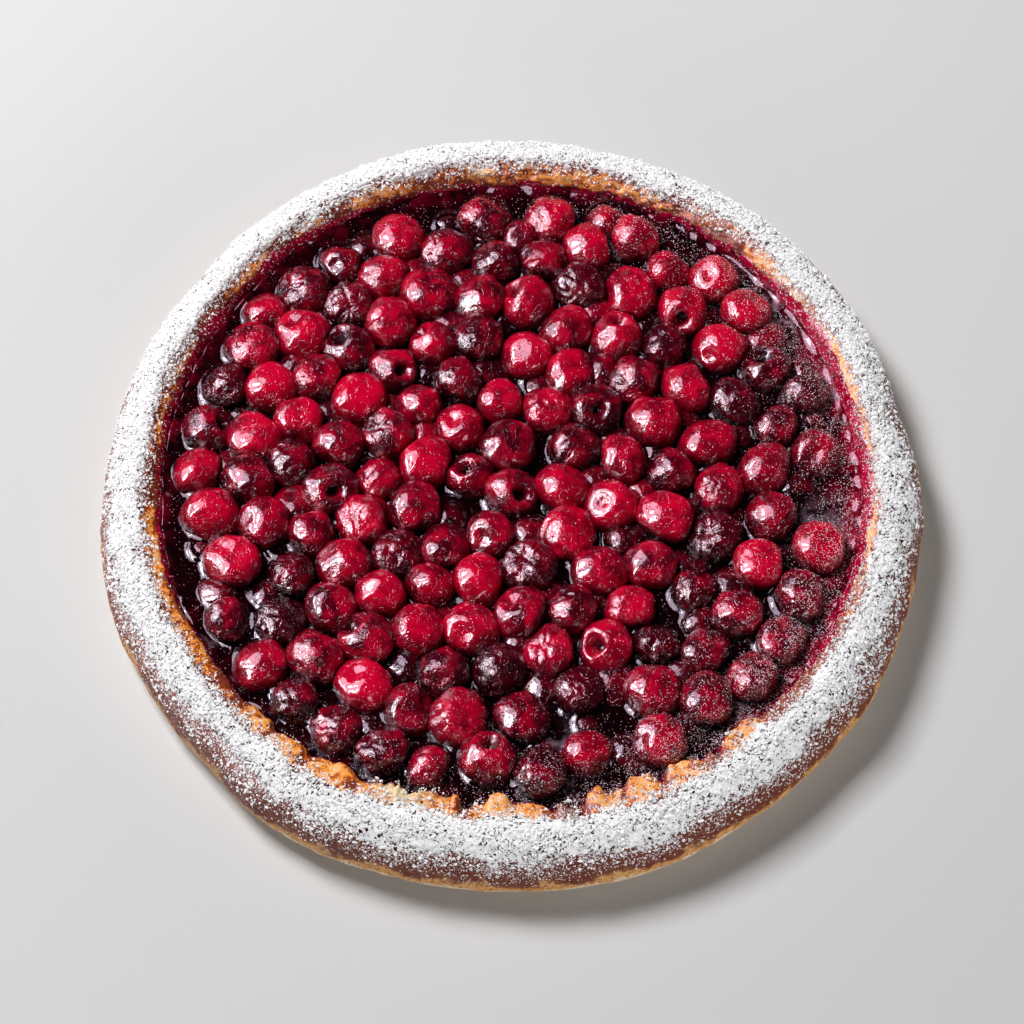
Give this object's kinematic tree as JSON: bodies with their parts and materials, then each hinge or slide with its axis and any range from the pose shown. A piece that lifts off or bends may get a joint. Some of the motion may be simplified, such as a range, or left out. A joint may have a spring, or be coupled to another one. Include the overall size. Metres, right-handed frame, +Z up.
{
  "type": "cherry pie",
  "caption": "Round open cherry pie: thick hand-formed crust dusted with icing sugar, filled with glossy pitted cherries set in dark cherry jelly.",
  "frame": {"origin": "middle of the flat underside", "axes": "+Z up through the middle of the pie; +X and +Y lie in the surface that it rests on"},
  "size_m": [0.2599, 0.2601, 0.03],
  "materials": {
    "baked_crust": "baked dough, satin reddish brown outside, golden tan at the foot and along the inner lip",
    "cherry_jelly": "set cherry jelly, very dark crimson, wet gloss",
    "cherry_skin": "cooked cherry skin, deep crimson, wet gloss",
    "icing_sugar": "dry fine powder, matt white"
  },
  "bodies": {
    "root": {"crust": "baked_crust", "jelly": "cherry_jelly", "cherries": "cherry_skin", "icing_sugar": "icing_sugar"}
  },
  "joints": []
}
